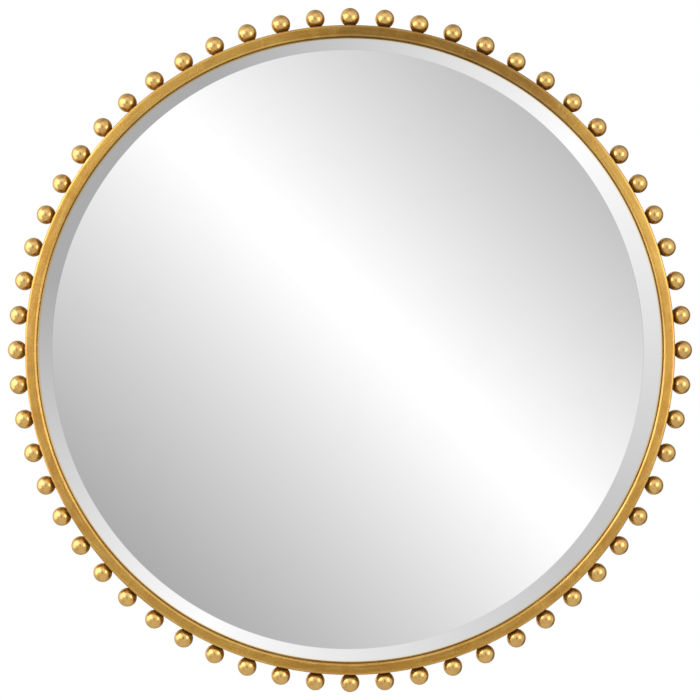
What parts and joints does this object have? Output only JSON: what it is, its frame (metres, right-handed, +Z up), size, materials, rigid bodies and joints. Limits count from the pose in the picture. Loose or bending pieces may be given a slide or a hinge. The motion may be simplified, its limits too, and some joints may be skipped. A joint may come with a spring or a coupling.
{
  "type": "round mirror",
  "caption": "Round wall mirror: bevelled glass in a gold-leaf tube ring studded with balls all round, on a screwed backing board with swinging D-ring hangers.",
  "frame": {"origin": "centre of the ring's back face, in the plane of the wall", "axes": "+X right and +Z up for someone who looks into the mirror, which faces -Y; +Y points into the wall"},
  "size_m": [0.9144, 0.03, 0.9144],
  "materials": {
    "gold_leaf": "antiqued gold leaf over steel",
    "mirror": "silvered glass, ground bevel",
    "tape": "foam tape",
    "board": "MDF, painted black",
    "tab_paint": "gold paint over steel",
    "screw_zinc": "zinc plated",
    "hanger_steel": "nickel plated"
  },
  "bodies": {
    "mirror": {"frame_ring": "gold_leaf", "rim_balls_01": "gold_leaf", "rim_balls_02": "gold_leaf", "rim_balls_03": "gold_leaf", "rim_balls_04": "gold_leaf", "rim_balls_05": "gold_leaf", "rim_balls_06": "gold_leaf", "rim_balls_07": "gold_leaf", "rim_balls_08": "gold_leaf", "rim_balls_09": "gold_leaf", "rim_balls_10": "gold_leaf", "rim_balls_11": "gold_leaf", "rim_balls_12": "gold_leaf", "mirror_glass": "mirror", "mounting_tape": "tape", "backing_board": "board", "retaining_tab_1": "tab_paint", "retaining_tab_2": "tab_paint", "retaining_tab_3": "tab_paint", "retaining_tab_4": "tab_paint", "retaining_tab_5": "tab_paint", "retaining_tab_6": "tab_paint", "retaining_tab_7": "tab_paint", "retaining_tab_8": "tab_paint", "tab_screws": "screw_zinc", "hanger_strap_left": "hanger_steel", "hanger_strap_right": "hanger_steel", "hanger_screws": "screw_zinc"},
    "left_loop": {"hanger_ring_left": "hanger_steel"},
    "right_loop": {"hanger_ring_right": "hanger_steel"}
  },
  "joints": [
    {"name": "left_loop_swing", "type": "hinge", "parent": "mirror", "child": "left_loop", "pos_m": [-0.2032, -0.0091, 0.25], "axis": [1, 0, 0], "range_deg": [0, 175]},
    {"name": "right_loop_swing", "type": "hinge", "parent": "mirror", "child": "right_loop", "pos_m": [0.2032, -0.0091, 0.25], "axis": [1, 0, 0], "range_deg": [0, 175]}
  ]
}
